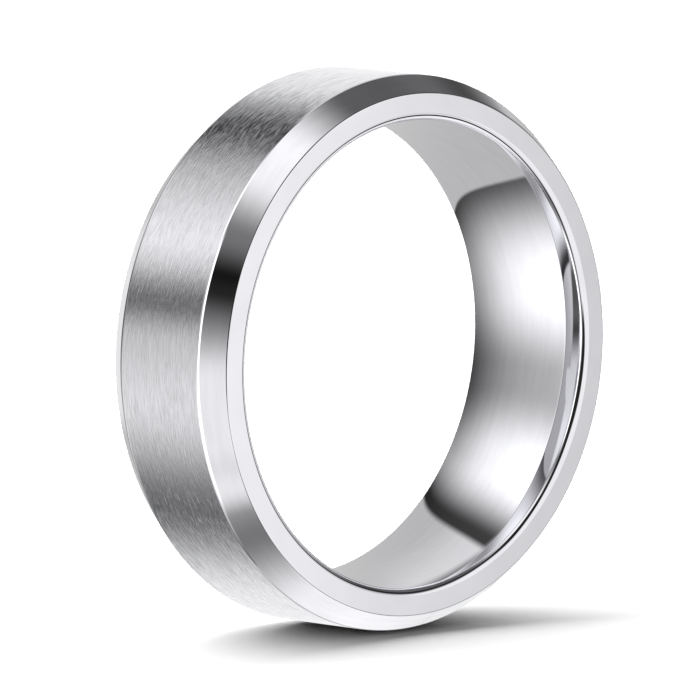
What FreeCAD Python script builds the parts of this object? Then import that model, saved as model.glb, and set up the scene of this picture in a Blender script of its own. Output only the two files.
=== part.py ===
import FreeCAD, Part
import math
import os
import Sketcher

# A wedding band turned from one piece of white metal.
#
# Frame: the ring stands on its rim. Its axis is Y, +Z is up, and the origin is the centre of the
# bore, halfway between the two end faces. Lengths are in millimetres.
#
# Going round the section from the finger outwards: a narrow cylindrical land in the middle of the
# bore, a comfort-fit rounding from it out to each mouth, a small break at each mouth, the flat end
# faces, a polished bevel up from each end face, and the broad satin band between the bevels.

DRIVING_DIMENSIONS = [
    ("band_width", 7.0, "end face to end face"),
    ("outer_diameter", 24.3, "over the satin band"),
    ("bore_diameter", 19.4, "across the land, US finger size 9 1/2"),
    ("satin_width", 4.8, "width of the flat satin band"),
    ("bevel_drop", 0.72, "how far each bevel falls towards the finger"),
    ("land_length", 1.0, "axial length of the cylindrical land"),
    ("rounding_rise", 0.6, "how far the comfort-fit rounding opens the bore by the end face"),
    ("mouth_break", 0.35, "radius where the rounding meets the end face"),
    ("crest_break", 0.3, "radius where the satin band meets each bevel"),
    ("rim_break", 0.12, "radius where each bevel meets the end face"),
]

DERIVED_DIMENSIONS = [
    ("outer_radius", "=outer_diameter / 2", "radius of the satin band"),
    ("bore_radius", "=bore_diameter / 2", "radius of the land"),
    ("mouth_radius", "=bore_radius + rounding_rise", "where rounding and end face would meet"),
    ("rim_radius", "=outer_radius - bevel_drop", "where bevel and end face would meet"),
    ("rounding_length", "=(band_width - land_length) / 2", "axial length of each rounding"),
]

EDGE_TOLERANCE = 1e-6
SIZE_TOLERANCE = 0.01


def make_dimensions(doc):
    """The sheet of dimensions: name, value and meaning, one row each."""
    sheet = doc.addObject("Spreadsheet::Sheet", "dimensions")
    for row, (alias, value, meaning) in enumerate(DRIVING_DIMENSIONS + DERIVED_DIMENSIONS, start=1):
        sheet.set(f"A{row}", alias)
        sheet.set(f"B{row}", str(value))
        sheet.set(f"C{row}", meaning)
        sheet.setAlias(f"B{row}", alias)
    doc.recompute()
    return sheet


def origin_plane(body, role):
    """The origin plane of a body with the given role, such as XY_Plane."""
    return next(feature for feature in body.Origin.OriginFeatures if feature.Role == role)


def rounding_arc(sheet, side):
    """A first guess at the comfort-fit arc at the mouth on one side, +1 or -1."""
    rise = sheet.rounding_rise
    run = sheet.rounding_length
    radius = (run**2 + rise**2) / (2 * rise)
    sweep = math.asin(run / radius)
    centre = FreeCAD.Vector(sheet.bore_radius + radius, side * sheet.land_length / 2, 0)
    circle = Part.Circle(centre, FreeCAD.Vector(0, 0, 1), radius)
    if side > 0:
        return Part.ArcOfCircle(circle, math.pi - sweep, math.pi)
    return Part.ArcOfCircle(circle, math.pi, math.pi + sweep)


def draw_section(body, sheet):
    """The ring's cross-section on one side of its axis: sketch X is radius, sketch Y is the axis."""
    sketch = body.newObject("Sketcher::SketchObject", "band_section")
    sketch.AttachmentSupport = (origin_plane(body, "XY_Plane"), "")
    sketch.MapMode = "FlatFace"

    def point(radius, height):
        return FreeCAD.Vector(radius, height, 0)

    def line(start, end):
        return sketch.addGeometry(Part.LineSegment(start, end), False)

    end_face = sheet.band_width / 2
    land_end = sheet.land_length / 2
    satin_end = sheet.satin_width / 2
    bore = sheet.bore_radius
    mouth = sheet.mouth_radius
    rim = sheet.rim_radius
    outer = sheet.outer_radius

    land = line(point(bore, -land_end), point(bore, land_end))
    upper_face = line(point(mouth, end_face), point(rim, end_face))
    upper_bevel = line(point(rim, end_face), point(outer, satin_end))
    satin = line(point(outer, satin_end), point(outer, -satin_end))
    lower_bevel = line(point(outer, -satin_end), point(rim, -end_face))
    lower_face = line(point(rim, -end_face), point(mouth, -end_face))
    upper_rounding = sketch.addGeometry(rounding_arc(sheet, 1), False)
    lower_rounding = sketch.addGeometry(rounding_arc(sheet, -1), False)

    # Vertex numbers: 1 is the start of an edge, 2 its end. An arc runs anticlockwise.
    start, end = 1, 2
    x_axis, origin = (-1, (-1, 1))
    joints = [
        (upper_face, end, upper_bevel, start),
        (upper_bevel, end, satin, start),
        (satin, end, lower_bevel, start),
        (lower_bevel, end, lower_face, start),
        (upper_face, start, upper_rounding, start),
        (lower_face, end, lower_rounding, end),
    ]
    for joint in joints:
        sketch.addConstraint(Sketcher.Constraint("Coincident", *joint))
    sketch.addConstraint(Sketcher.Constraint("Tangent", upper_rounding, end, land, end))
    sketch.addConstraint(Sketcher.Constraint("Tangent", lower_rounding, start, land, start))
    sketch.addConstraint(Sketcher.Constraint("Horizontal", upper_face))
    for upper, lower in [
        ((satin, start), (satin, end)),
        ((land, start), (land, end)),
        ((upper_face, start), (lower_face, end)),
        ((upper_face, end), (lower_face, start)),
    ]:
        sketch.addConstraint(Sketcher.Constraint("Symmetric", *upper, *lower, x_axis))

    def bind(kind, *geometry, alias):
        value = getattr(sheet, alias)
        index = sketch.addConstraint(Sketcher.Constraint(kind, *geometry, value))
        sketch.renameConstraint(index, alias)
        sketch.setExpression(f"Constraints.{alias}", f"dimensions.{alias}")

    bind("DistanceX", *origin, land, end, alias="bore_radius")
    bind("DistanceX", *origin, upper_face, start, alias="mouth_radius")
    bind("DistanceX", *origin, upper_face, end, alias="rim_radius")
    bind("DistanceX", *origin, satin, start, alias="outer_radius")
    bind("DistanceY", land, start, land, end, alias="land_length")
    bind("DistanceY", satin, end, satin, start, alias="satin_width")
    bind("DistanceY", lower_face, end, upper_face, start, alias="band_width")
    return sketch


def turn_blank(body, sketch):
    """The section turned once round the ring's axis."""
    turned = body.newObject("PartDesign::Revolution", "turned_band")
    turned.Profile = sketch
    turned.ReferenceAxis = (sketch, ["V_Axis"])
    turned.Angle = 360.0
    sketch.Visibility = False
    return turned


def circles_at(shape, radius, height):
    """Names of the round edges of this radius, this far either side of the middle of the band."""
    names = []
    for number, edge in enumerate(shape.Edges, start=1):
        if not isinstance(edge.Curve, Part.Circle):
            continue
        round_the_axis = abs(abs(edge.Curve.Axis.y) - 1) < EDGE_TOLERANCE
        same_radius = abs(edge.Curve.Radius - radius) < EDGE_TOLERANCE
        same_height = abs(abs(edge.Curve.Center.y) - height) < EDGE_TOLERANCE
        if round_the_axis and same_radius and same_height:
            names.append(f"Edge{number}")
    return names


def break_edges(body, base, label, alias, radius, height):
    """Rounds the pair of edges at this radius and height, by the sheet's value for the alias."""
    edges = circles_at(base.Shape, radius, height)
    if len(edges) != 2:
        raise RuntimeError(f"{label}: expected two edges, found {len(edges)}")
    fillet = body.newObject("PartDesign::Fillet", label)
    fillet.Base = (base, edges)
    fillet.setExpression("Radius", f"dimensions.{alias}")
    body.Document.recompute()
    if not fillet.Shape.Volume < base.Shape.Volume:
        raise RuntimeError(f"{label}: the edges were not broken")
    return fillet


def make_band(doc, sheet):
    """The whole ring: one turned blank with its three pairs of edges broken."""
    body = doc.addObject("PartDesign::Body", "band")
    body.Label = "band"
    blank = turn_blank(body, draw_section(body, sheet))
    doc.recompute()
    end_face = sheet.band_width / 2
    satin_end = sheet.satin_width / 2
    crests = break_edges(body, blank, "crest_breaks", "crest_break", sheet.outer_radius, satin_end)
    rims = break_edges(body, crests, "rim_breaks", "rim_break", sheet.rim_radius, end_face)
    mouths = break_edges(body, rims, "mouth_breaks", "mouth_break", sheet.mouth_radius, end_face)
    body.Tip = mouths
    body.Placement = FreeCAD.Placement(FreeCAD.Vector(0, 0, 0), FreeCAD.Rotation())
    doc.recompute()
    return body


def check_document(doc):
    """Stops if any object of the document failed to compute."""
    for item in doc.Objects:
        if "Invalid" in item.State or "Error" in item.State:
            raise RuntimeError(f"{item.Label} did not compute: {item.State}")


def check_band(body, sheet):
    """Stops unless the band is one valid solid that fills the box it should."""
    shape = body.Shape
    if shape.isNull() or not shape.isValid() or len(shape.Solids) != 1:
        raise RuntimeError("the band is not one valid solid")
    expected = (sheet.outer_diameter, sheet.band_width, sheet.outer_diameter)
    box = shape.optimalBoundingBox(False)
    for measured, wanted in zip((box.XLength, box.YLength, box.ZLength), expected):
        if abs(measured - wanted) > SIZE_TOLERANCE:
            raise RuntimeError(f"the band measures {measured:.3f} mm, not {wanted:.3f} mm")


def export_piece(piece):
    """Writes one sub-part to parts/, under its own label."""
    path = os.path.join("parts", f"{piece.Label}.step")
    piece.Shape.exportStep(path)
    print(f"{path}: {piece.Shape.Volume:.2f} cubic mm")


def main():
    doc = FreeCAD.newDocument("wedding_band")
    sheet = make_dimensions(doc)
    band = make_band(doc, sheet)
    check_document(doc)
    check_band(band, sheet)
    os.makedirs("parts", exist_ok=True)
    export_piece(band)


main()
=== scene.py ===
import bpy
import math
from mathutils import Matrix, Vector


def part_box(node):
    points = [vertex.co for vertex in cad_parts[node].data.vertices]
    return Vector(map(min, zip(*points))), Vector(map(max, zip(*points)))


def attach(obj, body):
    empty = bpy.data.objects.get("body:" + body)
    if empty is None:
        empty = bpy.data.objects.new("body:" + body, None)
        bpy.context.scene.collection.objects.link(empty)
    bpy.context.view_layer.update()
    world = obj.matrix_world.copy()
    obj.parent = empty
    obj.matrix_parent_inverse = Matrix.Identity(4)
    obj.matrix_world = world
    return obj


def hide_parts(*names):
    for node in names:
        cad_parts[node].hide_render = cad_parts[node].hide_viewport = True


# A wedding band standing on its rim: a satin centre, and polished bevels, end faces and bore.
#
# Frame, as in the CAD: the ring's axis is Y, +Z is up, and the origin is the centre of the bore.
# Lengths are in metres and angles in degrees, unless a comment says otherwise.

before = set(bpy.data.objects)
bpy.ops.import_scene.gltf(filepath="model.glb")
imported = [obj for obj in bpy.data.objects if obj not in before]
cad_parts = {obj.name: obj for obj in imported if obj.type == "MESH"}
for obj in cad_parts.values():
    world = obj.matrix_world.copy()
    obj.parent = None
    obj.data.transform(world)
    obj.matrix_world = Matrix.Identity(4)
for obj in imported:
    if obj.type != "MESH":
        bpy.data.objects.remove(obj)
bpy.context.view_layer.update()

MM = 0.001

# The section of the band, as in the CAD, except that one dome spans the whole bore. The outside
# diameter and the width come from the frame.
SATIN_WIDTH = 4.8 * MM
BEVEL_DROP = 0.72 * MM
BORE_RADIUS = 9.7 * MM
ROUNDING_RISE = 0.6 * MM
MOUTH_BREAK = 0.35 * MM
CREST_BREAK = 0.30 * MM
RIM_BREAK = 0.12 * MM

# How finely the band is cut into faces.
SEGMENTS_ROUND = 720
LONGEST_STEP = 0.4 * MM
DOME_STEPS = 24
MOUTH_STEPS = 12
BREAK_STEPS = 6

# A normal that points outwards at least this squarely belongs to the satin.
SQUARELY_OUT = 1 - 1e-9


class Station:
    """One corner of the section: its radius, its place along the axis, and its outward normal."""

    def __init__(self, radius, height, normal_out, normal_along):
        self.radius = radius
        self.height = height
        self.normal_out = normal_out
        self.normal_along = normal_along

    def mirrored(self):
        """The same corner on the other half of the band."""
        return Station(self.radius, -self.height, self.normal_out, -self.normal_along)

    def is_satin(self):
        """True on the flat band between the two crests."""
        return self.normal_out > SQUARELY_OUT


def arc(centre, radius, start, end, steps):
    """Stations round an arc. The angles are those of its normal, from +radius towards +Y."""
    stations = []
    for step in range(steps + 1):
        angle = math.radians(start + (end - start) * step / steps)
        out, along = math.cos(angle), math.sin(angle)
        stations.append(Station(centre[0] + radius * out, centre[1] + radius * along, out, along))
    return stations


def corner_break(corner, radius, start, end):
    """Stations round the break of a corner between two straight stretches with these normals."""
    half_turn = math.radians(end - start) / 2
    middle = math.radians(start + end) / 2
    depth = radius / math.cos(half_turn)
    centre = (corner[0] - depth * math.cos(middle), corner[1] - depth * math.sin(middle))
    return arc(centre, radius, start, end, BREAK_STEPS)


def half_section(outer_radius, half_width):
    """Stations from the middle of the bore, over the end face at +Y, to the middle of the satin."""
    dome_radius = (half_width**2 + ROUNDING_RISE**2) / (2 * ROUNDING_RISE)
    dome_centre = BORE_RADIUS + dome_radius
    mouth_height = half_width - MOUTH_BREAK
    mouth_turn = math.asin(mouth_height / (dome_radius - MOUTH_BREAK))
    mouth_radius = dome_centre - (dome_radius - MOUTH_BREAK) * math.cos(mouth_turn)
    mouth_start = 180 - math.degrees(mouth_turn)

    rim = (outer_radius - BEVEL_DROP, half_width)
    crest = (outer_radius, SATIN_WIDTH / 2)
    bevel_normal = math.degrees(math.atan2(BEVEL_DROP, half_width - SATIN_WIDTH / 2))

    stations = arc((dome_centre, 0), dome_radius, 180, mouth_start, DOME_STEPS)
    stations += arc((mouth_radius, mouth_height), MOUTH_BREAK, mouth_start, 90, MOUTH_STEPS)[1:]
    stations += corner_break(rim, RIM_BREAK, 90, bevel_normal)
    stations += corner_break(crest, CREST_BREAK, bevel_normal, 0)
    stations.append(Station(outer_radius, 0, 1, 0))
    return stations


def with_steps(stations):
    """The same section with its long straight stretches cut into even steps."""
    stepped = [stations[0]]
    for start, end in zip(stations, stations[1:]):
        length = math.hypot(end.radius - start.radius, end.height - start.height)
        steps = max(1, math.ceil(length / LONGEST_STEP))
        for step in range(1, steps + 1):
            part = step / steps
            radius = start.radius + (end.radius - start.radius) * part
            height = start.height + (end.height - start.height) * part
            stepped.append(Station(radius, height, end.normal_out, end.normal_along))
    return stepped


def whole_section(outer_radius, half_width):
    """The closed section, from the middle of the bore round by the satin and back."""
    half = with_steps(half_section(outer_radius, half_width))
    other_half = [station.mirrored() for station in reversed(half[1:-1])]
    return half + other_half


def turned_corners(section):
    """Every corner of the section turned round Y, and the exact normal at each."""
    corners = []
    normals = []
    for segment in range(SEGMENTS_ROUND):
        turn = 2 * math.pi * segment / SEGMENTS_ROUND
        x, z = math.cos(turn), math.sin(turn)
        for station in section:
            corners.append((station.radius * x, station.height, station.radius * z))
            normals.append((station.normal_out * x, station.normal_along, station.normal_out * z))
    return corners, normals


def turned_faces(section):
    """The faces between the corners, and 1 for each that is satin or 0 if it is polished."""
    count = len(section)
    faces = []
    finishes = []
    for segment in range(SEGMENTS_ROUND):
        here = segment * count
        there = (segment + 1) % SEGMENTS_ROUND * count
        for index in range(count):
            after = (index + 1) % count
            faces.append((here + index, there + index, there + after, here + after))
            finishes.append(int(section[index].is_satin() and section[after].is_satin()))
    return faces, finishes


def make_band(outer_radius, half_width, polished, satin):
    """The whole ring as one mesh, turned round Y."""
    section = whole_section(outer_radius, half_width)
    corners, normals = turned_corners(section)
    faces, finishes = turned_faces(section)
    mesh = bpy.data.meshes.new("band_metalwork")
    mesh.from_pydata(corners, [], faces)
    mesh.shade_smooth()
    for material in (polished, satin):
        mesh.materials.append(material)
    mesh.polygons.foreach_set("material_index", finishes)
    mesh.normals_split_custom_set_from_vertices(normals)
    mesh.validate(clean_customdata=False)
    band = bpy.data.objects.new("band_metalwork", mesh)
    bpy.context.scene.collection.objects.link(band)
    return band


# Node helpers. A value is a number or an output to link. An edge is where it lies and how wide its
# soft part is, and a negative width turns it over: 1 below it and 0 above. A window is where it
# starts, where it ends and how wide the soft part of both ends is.


def math_node(tree, operation, *values):
    """A Math node's output."""
    node = tree.nodes.new("ShaderNodeMath")
    node.operation = operation
    for socket, value in zip(node.inputs, values):
        if isinstance(value, (int, float)):
            socket.default_value = value
        else:
            tree.links.new(value, socket)
    return node.outputs["Value"]


def both(tree, mask, other):
    """1 where both masks are 1."""
    return math_node(tree, "MULTIPLY", mask, other)


def either(tree, mask, other):
    """1 where either mask is 1."""
    return math_node(tree, "MAXIMUM", mask, other)


def blend(tree, level, other, mask):
    """The level where the mask is 0, the other where it is 1."""
    change = math_node(tree, "SUBTRACT", other, level)
    return math_node(tree, "MULTIPLY_ADD", change, mask, level)


def soft_step(tree, value, edge, softness):
    """0 well below the edge and 1 well above it."""
    node = tree.nodes.new("ShaderNodeMapRange")
    node.interpolation_type = "SMOOTHSTEP"
    node.inputs["From Min"].default_value = edge - softness / 2
    node.inputs["From Max"].default_value = edge + softness / 2
    tree.links.new(value, node.inputs["Value"])
    return node.outputs["Result"]


def window(tree, value, low, high, softness):
    """1 between low and high, 0 outside them."""
    above = soft_step(tree, value, low, softness)
    past = soft_step(tree, value, high, softness)
    return math_node(tree, "SUBTRACT", above, past)


def noise(tree, place, sizes, detail):
    """Noise whose blobs measure these sizes along x, y and z."""
    stretch = tree.nodes.new("ShaderNodeMapping")
    stretch.inputs["Scale"].default_value = tuple(1 / size for size in sizes)
    tree.links.new(place, stretch.inputs["Vector"])
    texture = tree.nodes.new("ShaderNodeTexNoise")
    texture.inputs["Scale"].default_value = 1.0
    texture.inputs["Detail"].default_value = detail
    tree.links.new(stretch.outputs["Vector"], texture.inputs["Vector"])
    return texture.outputs["Fac"]


# Noise at or below the first is all dark, and at or above the second all light.
DARK_NOISE = 0.3
LIGHT_NOISE = 0.7

# Faint marks that polishing round the ring leaves in the bright metal.
POLISH_DARK = (0.775, 0.775, 0.805)
POLISH_LIGHT = (0.825, 0.825, 0.855)
POLISH_MARK_LENGTH = 2.0 * MM
POLISH_MARK_WIDTH = 0.25 * MM
POLISH_DETAIL = 3.0

# The brushing. Strokes run round the ring, and are lighter and smoother or darker and rougher.
# Scratches are grooves of about the same size, among the strokes.
STROKE_LENGTH = 0.65 * MM
STROKE_WIDTH = 0.04 * MM
STROKE_DETAIL = 2.0
STROKE_DARK = (0.70, 0.70, 0.727)
STROKE_LIGHT = (0.90, 0.90, 0.933)
STROKE_SMOOTH = 0.10
STROKE_ROUGH = 0.26
SCRATCH_LENGTH = 0.6 * MM
SCRATCH_WIDTH = 0.04 * MM
SCRATCH_DEPTH = 0.013 * MM
SCRATCH_DETAIL = 1.0

# Strokes and scratches wander along the axis by up to DRIFT, over about DRIFT_LENGTH.
DRIFT = 0.25 * MM
DRIFT_LENGTH = 2.5 * MM
DRIFT_DETAIL = 1.0

# The brushing blurs reflections across the strokes more than along them.
BRUSHED_ANISOTROPY = 0.8
QUARTER_TURN = 0.25


def plain_metal(name):
    """A metal material and its tree and shader node."""
    material = bpy.data.materials.new(name)
    material.use_nodes = True
    shader = material.node_tree.nodes["Principled BSDF"]
    shader.inputs["Metallic"].default_value = 1.0
    return material, material.node_tree, shader


def shade_between(tree, marks, dark, light, socket):
    """Colours a socket from dark to light by noise, and returns how light it is, 0 to 1."""
    contrast = tree.nodes.new("ShaderNodeMapRange")
    contrast.inputs["From Min"].default_value = DARK_NOISE
    contrast.inputs["From Max"].default_value = LIGHT_NOISE
    tree.links.new(marks, contrast.inputs["Value"])
    colour = tree.nodes.new("ShaderNodeMix")
    colour.data_type = "RGBA"
    colour.inputs["A"].default_value = (*dark, 1.0)
    colour.inputs["B"].default_value = (*light, 1.0)
    tree.links.new(contrast.outputs["Result"], colour.inputs["Factor"])
    tree.links.new(colour.outputs["Result"], socket)
    return contrast.outputs["Result"]


def polished_metal():
    """Mirror-bright metal: the bevels, end faces and bore."""
    material, tree, shader = plain_metal("polished_metal")
    shader.inputs["Roughness"].default_value = 0.0
    place = tree.nodes.new("ShaderNodeTexCoord").outputs["Object"]
    sizes = (POLISH_MARK_LENGTH, POLISH_MARK_WIDTH, POLISH_MARK_LENGTH)
    marks = noise(tree, place, sizes, POLISH_DETAIL)
    shade_between(tree, marks, POLISH_DARK, POLISH_LIGHT, shader.inputs["Base Color"])
    return material


def drifting_place(tree):
    """Object coordinates, shifted a little along the axis so that strokes run slightly askew."""
    place = tree.nodes.new("ShaderNodeTexCoord").outputs["Object"]
    drift = noise(tree, place, (DRIFT_LENGTH, DRIFT_LENGTH, DRIFT_LENGTH), DRIFT_DETAIL)
    shift = tree.nodes.new("ShaderNodeCombineXYZ")
    tree.links.new(math_node(tree, "MULTIPLY", drift, DRIFT), shift.inputs["Y"])
    total = tree.nodes.new("ShaderNodeVectorMath")
    total.operation = "ADD"
    tree.links.new(place, total.inputs[0])
    tree.links.new(shift.outputs["Vector"], total.inputs[1])
    return total.outputs["Vector"]


def scratch_normal(tree, place):
    """The surface normal with the scratches in it."""
    sizes = (SCRATCH_LENGTH, SCRATCH_WIDTH, SCRATCH_LENGTH)
    bump = tree.nodes.new("ShaderNodeBump")
    bump.inputs["Strength"].default_value = 1.0
    bump.inputs["Distance"].default_value = SCRATCH_DEPTH
    tree.links.new(noise(tree, place, sizes, SCRATCH_DETAIL), bump.inputs["Height"])
    return bump.outputs["Normal"]


def satin_metal():
    """Metal brushed round the ring, whose fine strokes blur reflections across the band."""
    material, tree, shader = plain_metal("satin_metal")
    shader.inputs["Anisotropic"].default_value = BRUSHED_ANISOTROPY
    shader.inputs["Anisotropic Rotation"].default_value = QUARTER_TURN
    tangent = tree.nodes.new("ShaderNodeTangent")
    tangent.direction_type = "RADIAL"
    tangent.axis = "Y"
    tree.links.new(tangent.outputs["Tangent"], shader.inputs["Tangent"])

    place = drifting_place(tree)
    strokes = noise(tree, place, (STROKE_LENGTH, STROKE_WIDTH, STROKE_LENGTH), STROKE_DETAIL)
    light = shade_between(tree, strokes, STROKE_DARK, STROKE_LIGHT, shader.inputs["Base Color"])
    tree.links.new(blend(tree, STROKE_ROUGH, STROKE_SMOOTH, light), shader.inputs["Roughness"])
    tree.links.new(scratch_normal(tree, place), shader.inputs["Normal"])
    return material


# The camera.
CAMERA_AZIMUTH = -44.158
CAMERA_ELEVATION = 6.638
CAMERA_DISTANCE = 0.718
CAMERA_LENS_MM = 846.7
SENSOR_WIDTH_MM = 36.0
CLIP_END = 20

# How far left of and below the ring's centre the camera aims, in outer radii.
AIM_LEFT = 0.0402
AIM_DOWN = 0.0071


def camera_direction():
    """The direction from the ring to the camera."""
    azimuth, elevation = math.radians(CAMERA_AZIMUTH), math.radians(CAMERA_ELEVATION)
    return Vector((
        math.sin(azimuth) * math.cos(elevation),
        -math.cos(azimuth) * math.cos(elevation),
        math.sin(elevation),
    ))


def make_camera(outer_radius):
    """The scene's camera."""
    back = camera_direction()
    right = Vector((0, 0, 1)).cross(back).normalized()
    up = back.cross(right)
    aim = -right * AIM_LEFT * outer_radius - up * AIM_DOWN * outer_radius
    camera_data = bpy.data.cameras.new("camera")
    camera_data.lens = CAMERA_LENS_MM
    camera_data.sensor_width = SENSOR_WIDTH_MM
    camera_data.clip_end = CLIP_END
    camera = bpy.data.objects.new("camera", camera_data)
    bpy.context.scene.collection.objects.link(camera)
    camera.location = back * CAMERA_DISTANCE
    camera.rotation_euler = (camera.location - aim).to_track_quat("Z", "Y").to_euler()
    bpy.context.scene.camera = camera


# The studio is one world that shows each of three surfaces something else: the polished metal, the
# satin and the floor. It's laid out by direction from the ring. Across, behind and up are the parts
# of that direction along X, Y and Z. Lean is its angle away from +Y: 0 is straight behind the ring
# and 180 straight in front. Roll goes round the ring's axis, from +X up over +Z.
#
# A set of lights is a list of angles round the ring and how bright the studio is at each. It eases
# from one to the next. Every angle is between TURN_START and a whole turn later, and no light in a
# set is brighter than BRIGHTEST.
TURN_START = -30.0
WHOLE_TURN = 360.0
BRIGHTEST = 1.4

# Behind the ring, on the left: two soft lights, dimmer towards straight behind. They fan out from
# the point where across is FAN_CENTRE and up is 0. Fan is the angle round that point, counted as
# roll is, and it grows by FAN_SWEEP for each degree of lean past FAN_SWEEP_LEAN.
FAN_CENTRE = 0.37
FAN_SWEEP = 0.06
FAN_SWEEP_LEAN = 45.0
FAN_LIGHTS = [
    (110, 0.05), (135, 1.27), (141, 1.26), (167, 0.46),
    (173, 0.46), (199, 1.26), (203, 1.25), (246, 0.10),
]
FAN_TOP_EDGE = (104.8, 4.5)
FAN_LOW_EDGE = (244.3, 2.5)
FAN_GAIN = 1.25
FAN_FALLOFF_POWER = 0.85
FAN_DIMMEST = 0.5
FAN_DIM_EDGE = (20, 50)

# Behind the ring, on the right: a grey wall, with a lighter top and a pale card low down. It has a
# dark hole straight behind the ring.
WALL_LEVEL = 0.57
WALL_TOP_LEVEL = 0.85
WALL_TOP_UP_EDGE = (0.3, 0.6)
WALL_TOP_LEAN_EDGE = (52, 30)
PALE_CARD_LEVEL = 0.9
PALE_CARD_ACROSS_EDGE = (0.3, 0.1)
PALE_CARD_UP_EDGE = (0.03, -0.1)
PALE_CARD_LEAN_EDGE = (29, -4)
HOLE_LEVEL = 0.02
HOLE_EDGE = (20, 4)

# Beside the ring: lights and dark cards all round it. They begin at a lean that is smaller towards
# the right, and low on the right they reach further behind the ring.
BESIDE_LIGHTS = [
    (-30, 0.97), (-6, 0.90), (26, 0.08), (39, 0.15), (56, 0.12), (69, 0.13), (98, 1.20), (110, 1.13),
    (135, 0.21), (150, 0.01), (156, 0.02), (190, 1.0), (212, 1.0), (249, 0.22), (283, 1.1),
    (300, 1.17), (330, 0.97),
]
BESIDE_LEAN_EDGE = (71.0, 5)
BESIDE_SKEW = 14.0
BESIDE_RIGHT_EDGE = (0.728, 0.012)
BESIDE_LOW_EDGE = (-0.08, -0.08)

# In front of the ring: a pale wall, brighter past a certain lean.
FRONT_EDGE = (132, 4)
FRONT_LEVEL = 0.75
FRONT_BRIGHT_LEVEL = 1.06
FRONT_BRIGHT_EDGE = (135.2, 1.6)

# The key light, to the left.
KEY_LEVEL = 2.0
KEY_ROLL_WINDOW = (140, 232, 16)
KEY_LEAN_WINDOW = (75, 103, 6)

# Black cards: a band right round the ring, a wider one at the upper left, and a disc that the
# camera looks through the middle of. The disc's edge is given as a cosine.
BLACK_LEVEL = 0.02
BAND_WINDOW = (115, 127, 4)
WIDE_BAND_WINDOW = (115, 146, 4)
WIDE_BAND_ROLL_WINDOW = (60, 200, 20)
DISC_EDGE = (math.cos(math.radians(23.0)), 0.07)

# What the satin sees.
SATIN_LIGHTS = [
    (-30, 1.08), (10, 1.14), (34, 0.97), (53, 0.96), (65, 0.01), (83, 0.01), (99, 0.66), (136, 1.04),
    (161, 0.12), (177, 0.68), (205, 0.90), (251, 0.11), (305, 1.05), (330, 1.08),
]

# What the floor sees: an even fill, and a broad light low behind the ring. Its edge is given as
# a cosine.
FLOOR_FILL = 0.24
FLOOR_KEY = 4.3
FLOOR_KEY_DIRECTION = (0.10, 0.96, 0.26)
FLOOR_KEY_EDGE = (0.41, 0.66)

# What the camera sees past the floor.
BACKDROP_LEVEL = 1.0


class Outlook:
    """The direction that the world is seen in, as outputs of the world's tree."""

    def __init__(self, tree):
        coordinates = tree.nodes.new("ShaderNodeTexCoord")
        split = tree.nodes.new("ShaderNodeSeparateXYZ")
        tree.links.new(coordinates.outputs["Generated"], split.inputs["Vector"])
        self.across = split.outputs["X"]
        self.behind = split.outputs["Y"]
        self.up = split.outputs["Z"]
        self.roll = turn_round(tree, self.up, self.across)
        self.lean = math_node(tree, "DEGREES", math_node(tree, "ARCCOSINE", self.behind))


def turn_round(tree, up, across):
    """The angle from +X up over +Z, within a whole turn of TURN_START."""
    angle = math_node(tree, "DEGREES", math_node(tree, "ARCTAN2", up, across))
    return math_node(tree, "WRAP", angle, TURN_START + WHOLE_TURN, TURN_START)


def nearness(tree, outlook, direction):
    """The cosine of the angle between the outlook and a direction."""
    total = math_node(tree, "MULTIPLY", outlook.across, direction[0])
    total = math_node(tree, "MULTIPLY_ADD", outlook.behind, direction[1], total)
    return math_node(tree, "MULTIPLY_ADD", outlook.up, direction[2], total)


def lights_round(tree, angle, lights):
    """How bright a set of lights is at an angle."""
    ramp = tree.nodes.new("ShaderNodeValToRGB")
    ramp.color_ramp.interpolation = "EASE"
    elements = ramp.color_ramp.elements
    # New elements start anywhere, and the next loop puts them in their places.
    while len(elements) < len(lights):
        elements.new(0.5)
    for element, (place, level) in zip(elements, lights):
        element.position = (place - TURN_START) / WHOLE_TURN
        shade = level / BRIGHTEST
        element.color = (shade, shade, shade, 1.0)
    turned = math_node(tree, "SUBTRACT", angle, TURN_START)
    tree.links.new(math_node(tree, "DIVIDE", turned, WHOLE_TURN), ramp.inputs["Fac"])
    return math_node(tree, "MULTIPLY", ramp.outputs["Color"], BRIGHTEST)


def fan_angle(tree, outlook):
    """The outlook's angle round the fan."""
    fan = turn_round(tree, outlook.up, math_node(tree, "SUBTRACT", outlook.across, FAN_CENTRE))
    sweep = math_node(tree, "SUBTRACT", outlook.lean, FAN_SWEEP_LEAN)
    return math_node(tree, "MULTIPLY_ADD", sweep, FAN_SWEEP, fan)


def fan_lights(tree, outlook, fan):
    """The soft lights behind the ring."""
    squared = math_node(tree, "POWER", outlook.behind, 2.0)
    sideways = math_node(tree, "SQRT", math_node(tree, "SUBTRACT", 1.0, squared))
    falloff = math_node(tree, "POWER", sideways, FAN_FALLOFF_POWER)
    falloff = math_node(tree, "MULTIPLY", falloff, FAN_GAIN)
    dimming = blend(tree, FAN_DIMMEST, 1.0, soft_step(tree, outlook.lean, *FAN_DIM_EDGE))
    falloff = math_node(tree, "MULTIPLY", falloff, dimming)
    return math_node(tree, "MULTIPLY", lights_round(tree, fan, FAN_LIGHTS), falloff)


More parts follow.
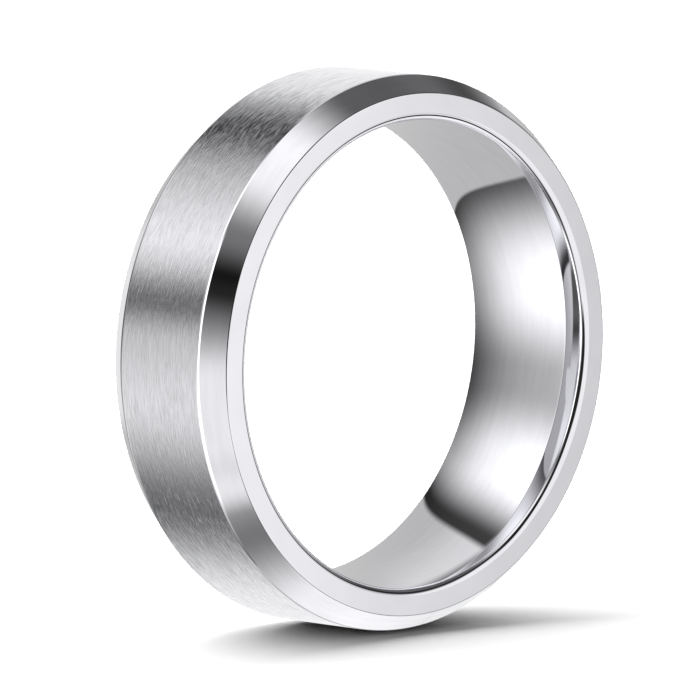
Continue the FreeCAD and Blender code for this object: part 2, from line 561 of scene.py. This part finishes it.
def wall(tree, outlook):
    """The grey wall behind the ring."""
    up_high = soft_step(tree, outlook.up, *WALL_TOP_UP_EDGE)
    top = both(tree, up_high, soft_step(tree, outlook.lean, *WALL_TOP_LEAN_EDGE))
    level = blend(tree, WALL_LEVEL, WALL_TOP_LEVEL, top)
    right = soft_step(tree, outlook.across, *PALE_CARD_ACROSS_EDGE)
    card = both(tree, right, soft_step(tree, outlook.up, *PALE_CARD_UP_EDGE))
    card = both(tree, card, soft_step(tree, outlook.lean, *PALE_CARD_LEAN_EDGE))
    level = blend(tree, level, PALE_CARD_LEVEL, card)
    return blend(tree, HOLE_LEVEL, level, soft_step(tree, outlook.lean, *HOLE_EDGE))


def behind_ring(tree, outlook):
    """What stands behind the ring: the fan of lights inside its two edges, the wall outside."""
    fan = fan_angle(tree, outlook)
    above = soft_step(tree, fan, *FAN_TOP_EDGE)
    below = soft_step(tree, fan, *FAN_LOW_EDGE)
    inside = math_node(tree, "SUBTRACT", above, below)
    return blend(tree, wall(tree, outlook), fan_lights(tree, outlook, fan), inside)


def beside_mask(tree, outlook):
    """1 where the lights and cards beside the ring stand."""
    skewed = math_node(tree, "MULTIPLY_ADD", outlook.across, BESIDE_SKEW, outlook.lean)
    right = soft_step(tree, outlook.across, *BESIDE_RIGHT_EDGE)
    low_right = both(tree, right, soft_step(tree, outlook.up, *BESIDE_LOW_EDGE))
    return either(tree, soft_step(tree, skewed, *BESIDE_LEAN_EDGE), low_right)


def key_mask(tree, outlook):
    """1 on the key light."""
    round_ring = window(tree, outlook.roll, *KEY_ROLL_WINDOW)
    return both(tree, round_ring, window(tree, outlook.lean, *KEY_LEAN_WINDOW))


def black_mask(tree, outlook):
    """1 on the black cards."""
    left = window(tree, outlook.roll, *WIDE_BAND_ROLL_WINDOW)
    wide_band = both(tree, left, window(tree, outlook.lean, *WIDE_BAND_WINDOW))
    bands = either(tree, window(tree, outlook.lean, *BAND_WINDOW), wide_band)
    disc = soft_step(tree, nearness(tree, outlook, camera_direction()), *DISC_EDGE)
    return either(tree, bands, disc)


def polished_sees(tree, outlook):
    """What the polished metal reflects."""
    beside = lights_round(tree, outlook.roll, BESIDE_LIGHTS)
    bright = soft_step(tree, outlook.lean, *FRONT_BRIGHT_EDGE)
    front = blend(tree, FRONT_LEVEL, FRONT_BRIGHT_LEVEL, bright)
    level = blend(tree, behind_ring(tree, outlook), beside, beside_mask(tree, outlook))
    level = blend(tree, level, front, soft_step(tree, outlook.lean, *FRONT_EDGE))
    level = blend(tree, level, KEY_LEVEL, key_mask(tree, outlook))
    return blend(tree, level, BLACK_LEVEL, black_mask(tree, outlook))


def floor_sees(tree, outlook):
    """The light that falls on the floor."""
    toward_key = nearness(tree, outlook, FLOOR_KEY_DIRECTION)
    return blend(tree, FLOOR_FILL, FLOOR_KEY, soft_step(tree, toward_key, *FLOOR_KEY_EDGE))


def make_world():
    """The studio. Only a perfectly smooth surface sends a singular ray, so the satin sends none."""
    world = bpy.data.worlds.new("studio")
    bpy.context.scene.world = world
    world.use_nodes = True
    # Cycles' own sampling of the world would ignore the kind of ray.
    world.cycles.sampling_method = "NONE"
    tree = world.node_tree
    outlook = Outlook(tree)
    path = tree.nodes.new("ShaderNodeLightPath")
    satin = lights_round(tree, outlook.roll, SATIN_LIGHTS)
    level = blend(tree, satin, polished_sees(tree, outlook), path.outputs["Is Singular Ray"])
    # The ring throws no light back onto the floor.
    off_floor = math_node(tree, "MINIMUM", path.outputs["Diffuse Depth"], 1.0)
    level = blend(tree, level, 0.0, off_floor)
    level = blend(tree, level, floor_sees(tree, outlook), path.outputs["Is Diffuse Ray"])
    level = blend(tree, level, BACKDROP_LEVEL, path.outputs["Is Camera Ray"])
    tree.links.new(level, tree.nodes["Background"].inputs["Color"])


FLOOR_SIZE = 4.0
FLOOR_COLOUR = (0.95, 0.95, 0.95, 1.0)
FLOOR_ROUGHNESS = 0.9


def make_floor(height):
    """A plain white floor. The ring doesn't reflect it."""
    mesh = bpy.data.meshes.new("floor")
    reach = FLOOR_SIZE / 2
    outline = [(-reach, -reach), (reach, -reach), (reach, reach), (-reach, reach)]
    mesh.from_pydata([(x, y, height) for x, y in outline], [], [(0, 1, 2, 3)])
    floor = bpy.data.objects.new("floor", mesh)
    bpy.context.scene.collection.objects.link(floor)
    material = bpy.data.materials.new("floor_white")
    material.use_nodes = True
    shader = material.node_tree.nodes["Principled BSDF"]
    shader.inputs["Base Color"].default_value = FLOOR_COLOUR
    shader.inputs["Roughness"].default_value = FLOOR_ROUGHNESS
    shader.inputs["Specular IOR Level"].default_value = 0.0
    mesh.materials.append(material)
    floor.visible_glossy = False


low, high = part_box("band")
outer_radius = high[0]
half_width = high[1]
make_camera(outer_radius)
make_world()
make_floor(low[2])
bpy.context.scene.view_settings.view_transform = "Standard"
band = make_band(outer_radius, half_width, polished_metal(), satin_metal())
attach(band, "root")
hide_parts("band")
